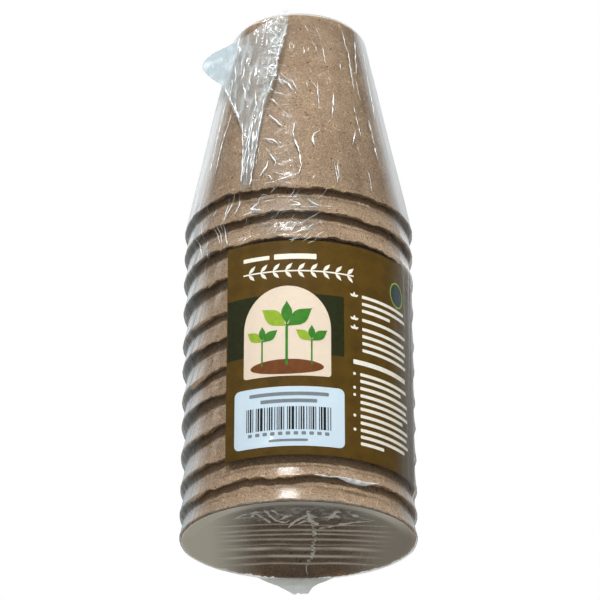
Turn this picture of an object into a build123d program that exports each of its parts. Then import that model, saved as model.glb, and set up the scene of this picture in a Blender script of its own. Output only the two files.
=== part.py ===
from build123d import *
import math
import os

# A sealed pack of nested round fibre plant pots that stands on the open mouths, with the bases up.
# Clear shrink film holds the stack, over a printed card and a sticker at the front.
# Millimetres, +Z up. The origin is the centre of the film panel over the last mouth, on its outer face.
# Azimuths are degrees about +Z from the front, which faces -Y, and grow towards +X.

# One pot, pressed from fibre: a straight tapered cup with rounded edges
rim_radius = 40.0
base_radius = 24.0
pot_height = 79.0
wall = 1.6
floor_thickness = 2.2
base_edge_radius = 2.5
floor_corner_radius = 2.0
lip_edge_radius = 0.5

# Steps from the first pot's lip down to each next lip, as shares of the step at which the walls touch.
# The pots sit unevenly in each other.
nest_step_shares = (1.18, 1.27, 1.39, 1.56, 1.17, 1.44, 1.14, 1.45, 1.44, 1.16, 1.06)

# Printed card and the sticker on it, both bent round the stack: widths are along the curve.
# The card hangs a little below a lip, with bare_lip_count lips left bare between it and the mouth.
card_width = 80.0
card_height = 78.0
card_thickness = 0.15
card_azimuth = 20.0
bare_lip_count = 2
card_overhang = 1.8
card_fit = 0.05
sticker_width = 38.1
sticker_height = 21.2
sticker_thickness = 0.06
sticker_corner_radius = 2.0
sticker_rise = 3.0
sticker_inset = 3.6
adhesive = 0.02

# Shrink film
film_thickness = 0.3
film_fit = 0.1
card_margin = 2.0
scallop_share = 0.72

# The crimped seam across the mouth panel, from front to back, with gaps to the inside of the last lip
seam_place = 4.7
seam_front_gap = 11.4
seam_back_gap = 4.4
seam_width = 1.2
seam_height = 0.8

# The loose seal tail at the back of the mouth panel: half widths from its root to its notched tip
tail_reach = 15.5
tail_root_half_width = 18.0
tail_tip_half_width = 6.5
tail_notch_half_width = 2.0
tail_notch_depth = 1.6

# The gathered film corner on the first pot: a flat web that leaves the cone along one line.
# Its outline is shares of the ear's reach, to the left of that line, and of the cone's slant above its foot.
flap_azimuth = -35.0
flap_reach = 24.0
flap_thickness = 0.6
flap_tip_radius = 3.5
flap_outline_shares = (
    (1.00, 0.86),
    (0.54, 0.70),
    (0.08, 0.40),
    (-0.11, 0.02),
    (-0.29, 0.02),
    (-0.25, 0.50),
    (-0.54, 0.74),
    (-0.56, 0.98),
)

# Sizes that follow
half_taper = math.atan2(rim_radius - base_radius, pot_height)
taper = math.tan(half_taper)
wall_across = wall / math.cos(half_taper)
touching_step = wall / math.sin(half_taper)
inner_rim = rim_radius - wall_across

first_lip = film_thickness + film_fit + touching_step * sum(nest_step_shares)
lip_heights = [first_lip]
for share in nest_step_shares:
    lip_heights.append(lip_heights[-1] - share * touching_step)
stack_top = first_lip + pot_height
card_bottom = lip_heights[-1 - bare_lip_count] - card_overhang
card_top = card_bottom + card_height

card_inner = rim_radius + card_fit
card_outer = card_inner + card_thickness
sticker_inner = card_outer + adhesive
sticker_outer = sticker_inner + sticker_thickness
film_inner = sticker_outer + film_fit
film_outer = film_inner + film_thickness
film_top = stack_top + film_fit
film_base_outer = film_outer - (film_top - first_lip) * taper
cone_foot = max(first_lip, card_top + card_margin)
cone_height = film_top - cone_foot
cone_spread = film_outer - film_base_outer
cone_taper = math.atan2(cone_spread, cone_height)
cone_slant = math.hypot(cone_spread, cone_height)


def swept_degrees(width, radius):
    """The angle that a width takes up on a circle."""
    return math.degrees(width / radius)


def turned(profile, azimuth, degrees):
    """A profile in XZ turned about Z through an angle, with its middle at an azimuth from the front."""
    return Rot(0, 0, azimuth - 90 - degrees / 2) * revolve(profile, Axis.Z, degrees)


def pot(lip):
    """One pot, base up, with its lip at a height."""
    inner_top = pot_height - floor_thickness
    inner_base = inner_rim - inner_top * taper
    outline = FilletPolyline(
        (0, pot_height),
        (base_radius, pot_height),
        (rim_radius, 0),
        (inner_rim, 0),
        (inner_base, inner_top),
        (0, inner_top),
        radius=[base_edge_radius, lip_edge_radius, lip_edge_radius, floor_corner_radius],
    )
    axis_line = Line((0, inner_top), (0, pot_height))
    profile = make_face(Plane.XZ * (outline + axis_line))
    return Pos(0, 0, lip) * revolve(profile, Axis.Z)


def film_line(flat_low, flat_high):
    """The film's inner line from mouth to base: it follows each wall, then steps out to the next lip.
    It stays straight over each step that reaches into the heights between flat_low and flat_high."""
    line = [(film_inner, film_thickness)]
    for lower, upper in zip(lip_heights[:0:-1], lip_heights[-2::-1]):
        line.append((film_inner, lower))
        if upper < flat_low or lower > flat_high:
            rise = scallop_share * (upper - lower)
            line.append((film_inner - rise * taper, lower + rise))
    line.append((film_inner, first_lip))
    if cone_foot > first_lip:
        line.append((film_inner, cone_foot))
    line.append((film_base_outer - film_thickness, film_top))
    return line


def film_section(inside, outside):
    """The section between one inner line and the outer side of another."""
    outer = [(radius + film_thickness, height) for radius, height in outside]
    return make_face(Plane.XZ * Polyline(*inside, *reversed(outer), close=True))


def film_sleeve():
    """The tube of film: scalloped over the lips all round, straight over the card, and stepped between."""
    panel_degrees = swept_degrees(card_width + 2 * card_margin, card_outer)
    step_degrees = swept_degrees(film_thickness, film_outer)
    scalloped = film_line(math.inf, -math.inf)
    straight = film_line(card_bottom - card_margin, card_top + card_margin)
    sleeve = turned(film_section(scalloped, scalloped), card_azimuth + 180, 360 - panel_degrees)
    sleeve += turned(film_section(straight, straight), card_azimuth, panel_degrees)
    for side in (-1, 1):
        step_azimuth = card_azimuth + side * (panel_degrees - step_degrees) / 2
        sleeve += turned(film_section(scalloped, straight), step_azimuth, step_degrees)
    return sleeve


def film_mouth_panel():
    """The flat film over the last mouth, with the loose tail of its seal at the back."""
    tip = film_outer + tail_reach
    root = math.sqrt(film_outer**2 - tail_root_half_width**2)
    tail = Polyline(
        (-tail_root_half_width, root),
        (-tail_tip_half_width, tip),
        (-tail_notch_half_width, tip),
        (0, tip - tail_notch_depth),
        (tail_notch_half_width, tip),
        (tail_tip_half_width, tip),
        (tail_root_half_width, root),
        (0, 0),
        close=True,
    )
    return extrude(Circle(film_outer) + make_face(tail), film_thickness)


def film_base_panel():
    """The flat film over the first pot's base."""
    return Pos(0, 0, film_top) * extrude(Circle(film_base_outer), film_thickness)


def film_seam():
    """The crimped seal, a low ridge on the mouth panel."""
    length = 2 * inner_rim - seam_front_gap - seam_back_gap
    ridge = extrude(SlotOverall(length, seam_width, rotation=90), seam_height)
    return Pos(seam_place, (seam_front_gap - seam_back_gap) / 2, film_thickness) * ridge


def film_corner_flap():
    """The gathered corner: a web of film in the plane that touches the cone along one line."""
    turn = math.radians(flap_azimuth)
    outward = Vector(math.sin(turn), -math.cos(turn), 0)
    leftward = Vector(-math.cos(turn), -math.sin(turn), 0)
    upward = Vector(0, 0, 1) * math.cos(cone_taper) - outward * math.sin(cone_taper)
    facing = outward * math.cos(cone_taper) + Vector(0, 0, 1) * math.sin(cone_taper)
    foot = outward * (film_outer + film_fit) + Vector(0, 0, cone_foot)
    web_plane = Plane(origin=foot, x_dir=upward, z_dir=facing)
    side = 1 if web_plane.y_dir.dot(leftward) > 0 else -1
    points = [(rise * cone_slant, side * reach * flap_reach) for reach, rise in flap_outline_shares]
    web = make_face(Polyline(*points, close=True))
    tip = web.vertices().sort_by(lambda vertex: side * vertex.Y)[-1]
    return web_plane * extrude(fillet(tip, flap_tip_radius), flap_thickness)


def bent_sheet(inner, outer, low, high, width, azimuth):
    """A sheet between two radii and two heights, bent round the stack, with a width along its curve."""
    section = Polyline((inner, low), (outer, low), (outer, high), (inner, high), close=True)
    return turned(make_face(Plane.XZ * section), azimuth, swept_degrees(width, outer))


def label_card():
    """The printed card, which lies on the lips."""
    return bent_sheet(card_inner, card_outer, card_bottom, card_top, card_width, card_azimuth)


def barcode_sticker():
    """The sticker on the card, with rounded corners."""
    low = card_bottom + sticker_rise
    high = low + sticker_height
    from_card_middle = sticker_inset + sticker_width / 2 - card_width / 2
    azimuth = card_azimuth + swept_degrees(from_card_middle, card_outer)
    sheet = bent_sheet(sticker_inner, sticker_outer, low, high, sticker_width, azimuth)
    corners = sheet.edges().filter_by(lambda edge: edge.length < 2 * sticker_thickness)
    return fillet(corners.filter_by(GeomType.LINE).filter_by(Axis.Z, reverse=True), sticker_corner_radius)


pieces = {
    "film_sleeve": film_sleeve(),
    "film_mouth_panel": film_mouth_panel(),
    "film_base_panel": film_base_panel(),
    "film_seam": film_seam(),
    "film_corner_flap": film_corner_flap(),
    "label_card": label_card(),
    "barcode_sticker": barcode_sticker(),
}
for number, lip_height in enumerate(lip_heights, start=1):
    pieces[f"pot_{number:02d}"] = pot(lip_height)

os.makedirs("parts", exist_ok=True)
for node, piece in pieces.items():
    export_step(piece, f"parts/{node}.step")
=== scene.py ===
"""A sealed pack of nested fibre plant pots in clear shrink film, with a printed label and a sticker.

Lengths are millimetres until a mesh is finished, which scales it to metres. Azimuths are degrees about the
stack's axis from the front, which faces -Y, and grow towards +X.
"""

import math
import random

import bmesh
import bpy
from mathutils import Matrix, Vector, noise


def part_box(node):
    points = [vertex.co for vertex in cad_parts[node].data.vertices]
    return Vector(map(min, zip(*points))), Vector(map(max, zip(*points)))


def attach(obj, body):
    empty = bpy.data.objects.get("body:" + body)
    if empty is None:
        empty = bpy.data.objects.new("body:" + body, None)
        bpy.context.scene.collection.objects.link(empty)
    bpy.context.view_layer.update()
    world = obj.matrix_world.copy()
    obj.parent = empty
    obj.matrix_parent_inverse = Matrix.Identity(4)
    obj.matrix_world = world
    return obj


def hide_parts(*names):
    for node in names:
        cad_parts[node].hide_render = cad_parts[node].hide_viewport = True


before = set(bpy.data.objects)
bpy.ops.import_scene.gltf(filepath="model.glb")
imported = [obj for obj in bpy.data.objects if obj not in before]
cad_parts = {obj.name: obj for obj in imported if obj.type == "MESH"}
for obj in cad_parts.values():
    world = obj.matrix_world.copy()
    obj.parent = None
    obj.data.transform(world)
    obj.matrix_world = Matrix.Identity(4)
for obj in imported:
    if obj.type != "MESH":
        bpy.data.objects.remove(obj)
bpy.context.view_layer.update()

# Vector noise differs from run to run without a seed
noise.seed_set(5)

MM = 0.001
ACROSS = Vector((1, 0, 0))
DEEP = Vector((0, 1, 0))
UP = Vector((0, 0, 1))

# Turned work: the wedges of a turn, the steps round a pot and round the film, a weld and a sharp edge
WEDGES = 20
POT_STEPS = 420
FILM_STEPS = 480
WELD = 0.0001
SHARP = math.radians(40)

# The stack, as the solids have it: lips from the first pot, at the top, down to the last
POTS = [f"pot_{number:02d}" for number in range(1, 13)]
LIPS = [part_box(node)[0].z / MM for node in POTS]
RIM_RADIUS = 40
BASE_RADIUS = 24
POT_HEIGHT = 79
TAPER = (RIM_RADIUS - BASE_RADIUS) / POT_HEIGHT
SLANT = math.atan(TAPER)
WALL_THICKNESS = 1.6
WALL_ACROSS = WALL_THICKNESS / math.cos(SLANT)
FLOOR_THICKNESS = 2.2
BASE_EDGE_ROUND = 2.1
FLOOR_CORNER_ROUND = 1.7
LIP_ROUND = 0.55

# The film: its radius, the rounds of its foot and top, and how far up from lip to lip a scallop turns out
FILM_RADIUS = 40.5
FILM_GAP = 0.25
FILM_TOP = LIPS[0] + POT_HEIGHT + FILM_GAP
FILM_TURN = 0.9
SHOULDER = 2.6
MOUTH_LEVEL = 0.2
SCALLOP_TURN = 0.62

# Label card and sticker: widths are along the curve, and print lies on the faces
CARD_RADIUS = 40.05
CARD_THICKNESS = 0.15
CARD_FACE = CARD_RADIUS + CARD_THICKNESS
CARD_WIDTH = 80
CARD_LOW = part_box("label_card")[0].z / MM
CARD_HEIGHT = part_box("label_card")[1].z / MM - CARD_LOW
CARD_AZIMUTH = 20
CARD_LEFT = CARD_AZIMUTH - math.degrees(CARD_WIDTH / 2 / CARD_FACE)
STICKER_RADIUS = 40.22
STICKER_THICKNESS = 0.06
STICKER_FACE = STICKER_RADIUS + STICKER_THICKNESS
STICKER_WIDTH = 38.1
STICKER_HEIGHT = 21.2
STICKER_ROUND = 2
STICKER_RISE = 3
STICKER_INSET = 3.6
STICKER_LEFT = CARD_LEFT + math.degrees(STICKER_INSET / CARD_FACE)
STICKER_LOW = CARD_LOW + STICKER_RISE
INK = 0.012


def ramp(low, high, value):
    """0 up to low, 1 from high, and smooth between."""
    share = min(1, max(0, (value - low) / (high - low)))
    return share * share * (3 - 2 * share)


def along(points, place):
    """The height over a place on a line through (place, height) points."""
    for (left, low), (right, high) in zip(points, points[1:]):
        if place <= right:
            return low + (high - low) * max(0, (place - left) / (right - left))
    return points[-1][1]


def round_stack(radius, azimuth, height):
    """The point at a radius, an azimuth and a height."""
    turn = math.radians(azimuth)
    return Vector((radius * math.sin(turn), -radius * math.cos(turn), height))


def azimuth_of(place):
    """The azimuth of a point."""
    return math.degrees(math.atan2(place.x, -place.y))


def linked(name, data):
    """A new object in the scene."""
    made = bpy.data.objects.new(name, data)
    bpy.context.scene.collection.objects.link(made)
    return made


def finished(name, bm, materials, slot, *nodes):
    """Makes a bmesh in millimetres an object in metres that rides with the pack."""
    bmesh.ops.scale(bm, vec=(MM, MM, MM), verts=bm.verts)
    for face in bm.faces:
        face.smooth = True
    mesh = bpy.data.meshes.new(name)
    bm.to_mesh(mesh)
    bm.free()
    mesh.set_sharp_from_angle(angle=SHARP)
    for material in materials:
        mesh.materials.append(material)
    made = linked(name, mesh)
    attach(made, "root")
    if nodes:
        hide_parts(*nodes)


def value_layers(bm, *names):
    """New layers of a bmesh, each with a value for every vertex."""
    return [bm.verts.layers.float.new(name) for name in names]


def faced(bm):
    """Turns all faces of a bmesh outwards."""
    bmesh.ops.recalc_face_normals(bm, faces=bm.faces)


def spun(bm, steps):
    """Turns the wire in a bmesh all the way round: one wedge, then copies of it, which is fast."""
    wedge = 360 / WEDGES
    for degrees, count, copies in ((wedge, steps // WEDGES, False), (360 - wedge, WEDGES - 1, True)):
        bmesh.ops.spin(
            bm,
            geom=bm.verts[:] + bm.edges[:] + bm.faces[:],
            cent=(0, 0, 0),
            axis=UP,
            dvec=(0, 0, 0),
            angle=math.radians(degrees),
            steps=count,
            use_duplicate=copies,
        )
    bmesh.ops.remove_doubles(bm, verts=bm.verts, dist=WELD)
    faced(bm)
    bm.normal_update()


def rounded(bm, verts, reach, segments):
    """Rounds the corners of flat work or of a wire, and gives the new vertices."""
    return bmesh.ops.bevel(
        bm, geom=verts, offset=reach, segments=segments, profile=0.5, affect="VERTICES", material=-1
    )["verts"]


def sliced(bm, axis, step):
    """Cuts flat work across at every step along an axis, so that it can bend."""
    places = [vert.co.dot(axis) for vert in bm.verts]
    count = math.floor(min(places) / step) + 1
    while count * step < max(places):
        bmesh.ops.bisect_plane(
            bm,
            geom=bm.verts[:] + bm.edges[:] + bm.faces[:],
            dist=WELD,
            plane_co=axis * (count * step),
            plane_no=axis,
        )
        count += 1


# Materials

WHITE = (1, 1, 1, 1)
FILM_INDEX = 1.5
DIAMOND = 5
CLOUDS_ACROSS = 11


def colour(code):
    """A linear colour from an sRGB hex code."""
    parts = [int(code[place : place + 2], 16) / 255 for place in (1, 3, 5)]
    linear = [part / 12.92 if part <= 0.04045 else ((part + 0.055) / 1.055) ** 2.4 for part in parts]
    return (*linear, 1)


def per_mm(size):
    """The scale of a texture whose features are a size across."""
    return 1 / (size * MM)


def add(tree, kind, inputs=None, **settings):
    """Adds a shader node with its settings. An input is a value, or a socket or node to link to."""
    made = tree.nodes.new("ShaderNode" + kind)
    for name, value in settings.items():
        setattr(made, name, value)
    for name, value in (inputs or {}).items():
        if isinstance(value, bpy.types.Node):
            value = value.outputs[0]
        if isinstance(value, bpy.types.NodeSocket):
            tree.links.new(value, made.inputs[name])
        else:
            made.inputs[name].default_value = value
    return made


def attribute(tree, name):
    """The value of a mesh's layer."""
    return add(tree, "Attribute", attribute_name=name).outputs["Fac"]


def maths(tree, operation, *values, **settings):
    """An operation on values."""
    return add(tree, "Math", dict(enumerate(values)), operation=operation, **settings)


def mapped(tree, value, low, high, start=0, end=1, **settings):
    """A value that goes from start to end while another goes from low to high."""
    return add(tree, "MapRange", {0: value, 1: low, 2: high, 3: start, 4: end}, **settings)


def mixed(tree, share, first, second, **settings):
    """Two colours, mixed by a share."""
    return add(tree, "Mix", {0: share, 6: first, 7: second}, data_type="RGBA", **settings).outputs[2]


def clouds(tree, place, scale, **inputs):
    """Noise of a scale at a place."""
    return add(tree, "TexNoise", {"Vector": place, "Scale": scale, **inputs})


def blank(name):
    """A new material with no nodes yet."""
    material = bpy.data.materials.new(name)
    material.use_nodes = True
    material.node_tree.nodes.clear()
    return material, material.node_tree


def satin(tree, body):
    """Gives a material the satin coat of printed paper."""
    coat = add(tree, "BsdfPrincipled", {"Base Color": body, "Roughness": 0.5, "Specular IOR Level": 0.3})
    add(tree, "OutputMaterial", {"Surface": coat})


def pressed_fibre():
    """Pressed wood and peat fibre: matt and speckled, with dark bark flecks and pale straw threads."""
    material, tree = blank("pressed fibre pulp")
    place = add(tree, "TexCoord").outputs["Object"]
    mottle = clouds(tree, place, per_mm(9), Detail=4, Roughness=0.6)
    grain = clouds(tree, place, per_mm(0.5), Detail=2, Roughness=0.7)
    pulp = mixed(tree, mottle, colour("#7B644C"), colour("#A38E79"))
    speck = mapped(tree, grain, 0.3, 0.7, 0.55, 1.4)
    pulp = mixed(tree, 1, pulp, speck, blend_type="MULTIPLY")
    shaken = add(tree, "Mix", {0: 0.0009, 4: place, 5: grain.outputs["Color"]}, data_type="VECTOR")
    ragged = shaken.outputs[1]
    flecks = add(tree, "TexVoronoi", {"Vector": ragged, "Scale": per_mm(4.6), "Randomness": 1})
    bark = mapped(tree, flecks.outputs["Distance"], 0.05, 0.13, 0.85, 0)
    pulp = mixed(tree, bark, pulp, colour("#4A3220"))
    crumbs = add(tree, "TexVoronoi", {"Vector": ragged, "Scale": per_mm(1.5), "Randomness": 1})
    chance = add(tree, "SeparateColor", {0: crumbs.outputs["Color"]})
    depth = mapped(tree, chance, 0.35, 1)
    crumb = mapped(tree, crumbs.outputs["Distance"], 0.12, 0.26, 1, 0)
    pulp = mixed(tree, maths(tree, "MULTIPLY", crumb, depth), pulp, colour("#4C3828"))
    threads = clouds(tree, place, per_mm(3), Detail=1, Distortion=1.2)
    thread_line = maths(tree, "COMPARE", threads, 0.5, 0.016)
    thread_cut = mapped(tree, clouds(tree, place, per_mm(2.2), Detail=0), 0.53, 0.61, 0, 0.45)
    straw = maths(tree, "MULTIPLY", thread_line, thread_cut)
    pulp = mixed(tree, straw, pulp, colour("#D8BF98"))
    # The tone layer multiplies the pulp: each pot's own tone, and a painted shade that darkens it towards
    # the pot's base
    pulp = mixed(tree, 1, pulp, attribute(tree, "tone_and_painted_shade"), blend_type="MULTIPLY")
    relief = maths(tree, "ADD", grain, straw)
    bump = add(tree, "Bump", {"Strength": 0.5, "Distance": 0.3 * MM, "Height": relief})
    matt = {"Base Color": pulp, "Roughness": 0.92, "Specular IOR Level": 0.2, "Normal": bump}
    add(tree, "OutputMaterial", {"Surface": add(tree, "BsdfPrincipled", matt)})
    return material


def shrink_film():
    """Clear shrink film: see-through face on, veiled and glossy at a glance, milky in its gathers; where a
    layer asks, its milk is painted a darker grey as painted shade.
    """
    material, tree = blank("clear shrink film")
    place = add(tree, "TexCoord").outputs["Object"]
    haze = attribute(tree, "haze")
    veil = attribute(tree, "veil")
    ripple = clouds(tree, place, per_mm(2.4), Detail=2, Distortion=0.6)
    facet = add(tree, "TexVoronoi", {"Vector": place, "Scale": per_mm(3.4)}, feature="DISTANCE_TO_EDGE")
    relief = maths(tree, "ADD", ripple, facet.outputs["Distance"])
    crinkle = attribute(tree, "crinkle")
    bump = add(tree, "Bump", {"Strength": crinkle, "Distance": 0.6 * MM, "Height": relief})
    behind = add(tree, "NewGeometry").outputs["Backfacing"]
    index = maths(tree, "MULTIPLY_ADD", behind, 1 / FILM_INDEX - FILM_INDEX, FILM_INDEX)
    fresnel = add(tree, "Fresnel", {"IOR": index, "Normal": bump})
    layers = maths(tree, "MULTIPLY_ADD", haze, 1.2, 1.6)
    both_sides = maths(tree, "MULTIPLY", fresnel, layers, use_clamp=True)
    clear = add(tree, "BsdfTransparent", {"Color": (0.97, 0.98, 0.98, 1)})
    gloss = add(tree, "BsdfGlossy", {"Color": WHITE, "Roughness": 0.18, "Normal": bump})
    sheet = add(tree, "MixShader", {0: both_sides, 1: clear, 2: gloss})
    # Painted shade: a layer mixes the milk towards a darker grey on the ear, the web, the tail and the veil
    # over the stack
    milk_and_painted_light = mixed(tree, attribute(tree, "doubled_and_painted_shade"), colour("#D6DDE0"), colour("#8C9BA2"))
    lit = add(tree, "BsdfDiffuse", {"Color": milk_and_painted_light})
    through = add(tree, "BsdfTranslucent", {"Color": milk_and_painted_light})
    milky = add(tree, "MixShader", {0: 0.2, 1: lit, 2: through})
    level = add(tree, "VectorMath", {0: place, 1: (1, 1, 0)}, operation="MULTIPLY")
    outward = add(tree, "VectorMath", {0: level}, operation="NORMALIZE")
    glance = add(tree, "LayerWeight", {"Blend": 0.5, "Normal": outward}).outputs["Facing"]
    shine = maths(tree, "MULTIPLY", glance, veil)
    sheen = add(tree, "BsdfGlossy", {"Color": milk_and_painted_light, "Roughness": 0.45})
    gathered = add(tree, "MixShader", {0: shine, 1: milky, 2: sheen})
    limb = mapped(tree, glance, 0.44, 0.7, interpolation_type="SMOOTHSTEP")
    cover = maths(tree, "MULTIPLY_ADD", limb, veil, haze, use_clamp=True)
    whole = add(tree, "MixShader", {0: cover, 1: sheet, 2: gathered})
    add(tree, "OutputMaterial", {"Surface": whole})
    return material


def label_ground():
    """Coated card, printed in olive brown with a faint diamond pattern: satin, with a cloudy mottle."""
    material, tree = blank("printed coated card")
    uv = add(tree, "TexCoord").outputs["UV"]
    scale = (CARD_WIDTH / DIAMOND, CARD_WIDTH / DIAMOND, 1)
    diagonal = add(tree, "Mapping", {"Vector": uv, "Rotation": (0, 0, math.radians(45)), "Scale": scale})
    shades = {"Color1": (0.62, 0.62, 0.62, 1), "Color2": (0.4, 0.4, 0.4, 1)}
    diamonds = add(tree, "TexChecker", {"Vector": diagonal, "Scale": 1, **shades})
    mottle = clouds(tree, uv, CLOUDS_ACROSS, Detail=4, Roughness=0.65)
    tint = mixed(tree, 0.6, diamonds.outputs["Color"], mottle.outputs["Fac"])
    satin(tree, mixed(tree, tint, colour("#342508"), colour("#765816")))
    return material


def printed_ink(name, code, deeper):
    """Offset ink on coated paper, or the paper: a satin coat whose density varies a little."""
    material, tree = blank(name)
    density = clouds(tree, add(tree, "TexCoord").outputs["Object"], per_mm(1.5), Detail=3)
    satin(tree, mixed(tree, density, colour(deeper), colour(code)))
    return material


fibre = pressed_fibre()
film = shrink_film()
# The label's ground and inks, and the sticker's paper and inks
LABEL_INKS = [
    label_ground(),
    printed_ink("pale ink", "#FFFCF2", "#EDE8DA"),
    printed_ink("cream ink", "#F2E2D0", "#E6D5C1"),
    printed_ink("dark olive ink", "#34381A", "#20230C"),
    printed_ink("leaf green ink", "#4E9A32", "#2F6F22"),
    printed_ink("lime ink", "#A9C83C", "#86A52C"),
    printed_ink("earth brown ink", "#8A5228", "#5E3417"),
    printed_ink("slate ink", "#3D4C50", "#2B383C"),
]
GROUND, PALE, CREAM, DARK, LEAF, LIME, EARTH, SLATE = range(8)
STICKER_INKS = [
    printed_ink("sticker paper", "#DAEAF6", "#D0E4F3"),
    printed_ink("grey ink", "#8A949C", "#747E86"),
    printed_ink("black ink", "#23262B", "#15171A"),
]
STOCK, GREY, BLACK = range(3)


# Pots

# The steps up a wall, and how high the finer steps of its lip go: for a pot that shows and for a nested one
SHOWN_STEPS = (1, 6)
NESTED_STEPS = (5, 15)
LIP_STEP = 0.55
# Waves of the pulp, as (height, length): lumps all over, and the fray and the sag of a lip
LUMPS = ((0.16, 4.5), (0.07, 1.5))
FRAY = ((0.5, 1.3), (0.7, 4))
SAG = ((1.3, 13), (1.2, 34))
PRESSED_IN = 0.14


def waves(place, sizes):
    """The height at a place of waves, as (height, length)."""
    return sum(height * noise.noise(place / length) for height, length in sizes)


def pot_wire(bm, wall_step, lip_zone):
    """The section of one pot over its lip, as a wire that is divided finely near the lip."""
    inner_rim = RIM_RADIUS - WALL_ACROSS
    inner_top = POT_HEIGHT - FLOOR_THICKNESS
    corners = (
        (0, POT_HEIGHT, 0),
        (BASE_RADIUS, POT_HEIGHT, BASE_EDGE_ROUND),
        (RIM_RADIUS - lip_zone * TAPER, lip_zone, 0),
        (RIM_RADIUS, 0, LIP_ROUND),
        (inner_rim, 0, LIP_ROUND),
        (inner_rim - lip_zone * TAPER, lip_zone, 0),
        (inner_rim - inner_top * TAPER, inner_top, FLOOR_CORNER_ROUND),
        (0, inner_top, 0),
    )
    line = [bm.verts.new((radius, 0, height)) for radius, height, _ in corners]
    for pair in zip(line, line[1:]):
        bm.edges.new(pair)
    for vert, (_, _, reach) in zip(line, corners):
        if reach:
            rounded(bm, [vert], reach, 4)
    for edge in bm.edges[:]:
        low = max(vert.co.z for vert in edge.verts) <= lip_zone + 0.01
        cuts = math.ceil(edge.calc_length() / (LIP_STEP if low else wall_step)) - 1
        if cuts > 0:
            bmesh.ops.subdivide_edges(bm, edges=[edge], cuts=cuts)


def fibre_pot(number, lip, shows):
    """One pot: a lumpy pressed wall and a lip with a frayed edge."""
    bm = bmesh.new()
    pot_wire(bm, *(SHOWN_STEPS if shows else NESTED_STEPS))
    spun(bm, POT_STEPS)
    [tone_and_painted_shade] = value_layers(bm, "tone_and_painted_shade")
    own = Vector((0, 0, 31.7 * number))
    by_chance = 0.06 * noise.noise(own * 0.37)
    down_stack = 0.25 * (number - 1) / len(POTS)
    pot_tone = 1 + by_chance + down_stack
    last = number == len(POTS)
    normals = [vert.normal.copy() for vert in bm.verts]
    for vert, normal in zip(bm.verts, normals):
        lump = waves(vert.co + own, LUMPS)
        height = vert.co.z
        rim = Vector((vert.co.x, vert.co.y, own.z))
        at_lip = 1 - ramp(0.2, 2.4, height)
        near_lip = 1 - ramp(1, 9, height)
        # Painted shade: this mask darkens the pulp towards each pot's base, which is the top of the stack
        painted_shade_towards_base = ramp(50, POT_HEIGHT, height)
        fray = waves(rim, FRAY)
        vert.co += normal * (lump - PRESSED_IN)
        vert.co.z += abs(fray) * at_lip if last else fray * at_lip + waves(rim, SAG) * near_lip
        patch = 0.1 * noise.noise(rim / 6) * at_lip
        # The tone layer holds the pot's own tone, times a painted shade towards its base
        vert[tone_and_painted_shade] = pot_tone * (1 + patch - 0.2 * painted_shade_towards_base)
    bmesh.ops.translate(bm, vec=(0, 0, lip), verts=bm.verts)
    finished(f"fibre_{POTS[number - 1]}", bm, [fibre], "pressed_fibre", POTS[number - 1])


for number, lip in enumerate(LIPS, start=1):
    fibre_pot(number, lip, number in (1, len(POTS)))


# Film

# A scallop's depth by the taper and its loss towards the top, and where the film is free of the card's edges
SCALLOP_DEPTH = 1.3
SCALLOP_LOSS = 0.35
CARD_BESIDE = 8
CARD_EDGE = (0.5, 4)
SHOULDER_DEPTH = 0.8
# Where the film is slack and webbed with folds: azimuths, heights and how much
SLACK = (((-28, 16), (92, 117), 0.8), ((-28, 4), (114, 172), 0.5), ((-72, -40), (88, 124), 0.4))
# Small blisters that catch the light: azimuth, height, reach and lift
BLISTERS = (
    (-14.5, 20.6, 3.4, 0.75), (10.5, 136, 3, 0.4), (9.6, 120, 2.6, 0.42),
    (7.5, 186.4, 2.2, 0.3), (9, 176.8, 1.8, 0.25), (24.5, 163.8, 1.6, 0.25),
)


def film_piece(name, bm, *nodes):
    """Finishes a bmesh as a piece of the film."""
    finished(name, bm, [film], "clear_film", *nodes)


def film_radius(azimuth, height):
    """The film's radius: straight over the card and up the first pot, drawn in between the other lips."""
    if height >= LIPS[0]:
        over = max(0, height - FILM_TOP + SHOULDER)
        shoulder = SHOULDER - math.sqrt(max(0, SHOULDER**2 - over**2))
        return FILM_RADIUS - (height - LIPS[0]) * TAPER - SHOULDER_DEPTH * shoulder
    turn = max(0, FILM_TURN - height)
    corner = FILM_TURN - math.sqrt(FILM_TURN**2 - turn**2)
    for lower, upper in zip(LIPS[:0:-1], LIPS[-2::-1]):
        if lower <= height < upper:
            share = (height - lower) / (upper - lower)
            hollow = SCALLOP_DEPTH - SCALLOP_LOSS * share
            drawn = (height - lower) * TAPER * hollow * (1 - ramp(SCALLOP_TURN, 1, share))
            from_card = math.radians(abs(azimuth - CARD_AZIMUTH)) * FILM_RADIUS - CARD_WIDTH / 2
            beside = ramp(0, CARD_BESIDE, from_card)
            below = ramp(*CARD_EDGE, CARD_LOW - height)
            above = ramp(*CARD_EDGE, height - CARD_LOW - CARD_HEIGHT)
            return FILM_RADIUS - drawn * max(beside, below, above) - corner
    return FILM_RADIUS - corner


def on_film(azimuth, height):
    """A point of the film."""
    return round_stack(film_radius(azimuth, height), azimuth, height)


def noise_at(x, y, z):
    """Noise at a place, from about -1 to 1."""
    return noise.noise(Vector((x, y, z)))


def crumple(place, size):
    """Facets with sharp folds between them, from 0 at a fold to about 1."""
    near = noise.voronoi(place / size)[0]
    return min(1, near[1] - near[0]) + 0.35 * noise.noise(place * 2.3 / size)


def slackness(azimuth, height):
    """How slack the film is at a place, from 0 to 1."""
    most = 0
    for (left, right), (low, high), amount in SLACK:
        across = ramp(left, left + 8, azimuth) * ramp(-right, -right + 8, -azimuth)
        most = max(most, amount * across * ramp(low, low + 9, height) * ramp(-high, -high + 9, -height))
    return most


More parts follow.
